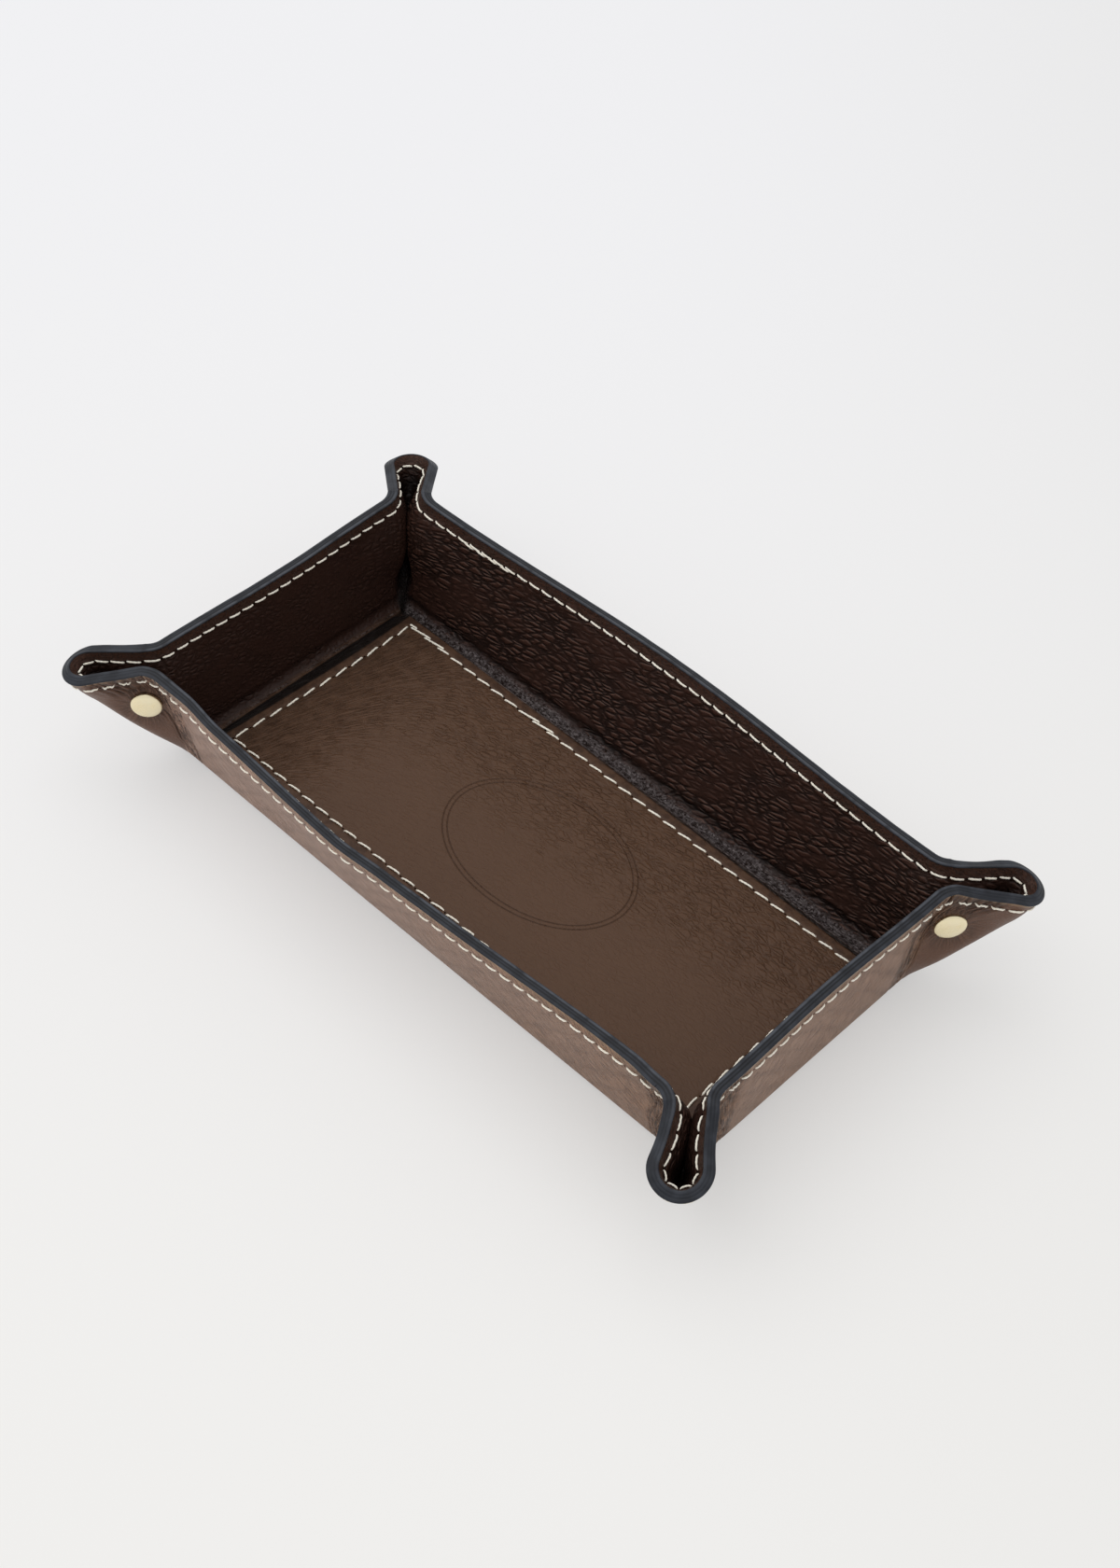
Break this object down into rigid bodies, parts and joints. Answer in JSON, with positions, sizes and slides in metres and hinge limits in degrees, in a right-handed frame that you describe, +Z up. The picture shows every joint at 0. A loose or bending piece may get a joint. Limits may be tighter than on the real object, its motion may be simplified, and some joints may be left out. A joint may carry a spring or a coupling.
{
  "type": "leather tray",
  "caption": "Shallow rectangular catch-all tray of stitched leather, its corners pinched into open ears by cap rivets, for keys, coins and small things",
  "frame": {"origin": "On the flat underside, where the middle line between the two long walls crosses the middle line between the two short walls. The ears differ a little, so the overall box isn't centred on it.", "axes": "+X along the tray's long side, +Y along its short side, +Z up out of the tray."},
  "size_m": [0.2152, 0.1264, 0.0348],
  "materials": {
    "taupe_leather": "grained, semi-matt",
    "brown_leather": "pebbled, semi-matt",
    "bonded_fibre": "bonded leather fibre, matt",
    "grey_board": "pressed wood-fibre board, matt",
    "edge_paint": "hand-laid edge paint, satin",
    "pale_brass": "pale satin plating"
  },
  "bodies": {
    "root": {"outer_leather": "taupe_leather", "reinforcement_sheet": "bonded_fibre", "base_board": "grey_board", "lining_leather": "brown_leather", "rim_edge_paint": "edge_paint", "rivet_right_post_cap": "pale_brass", "rivet_right_socket_cap": "pale_brass", "rivet_back_post_cap": "pale_brass", "rivet_back_socket_cap": "pale_brass", "rivet_left_post_cap": "pale_brass", "rivet_left_socket_cap": "pale_brass", "rivet_front_post_cap": "pale_brass", "rivet_front_socket_cap": "pale_brass"}
  },
  "joints": []
}
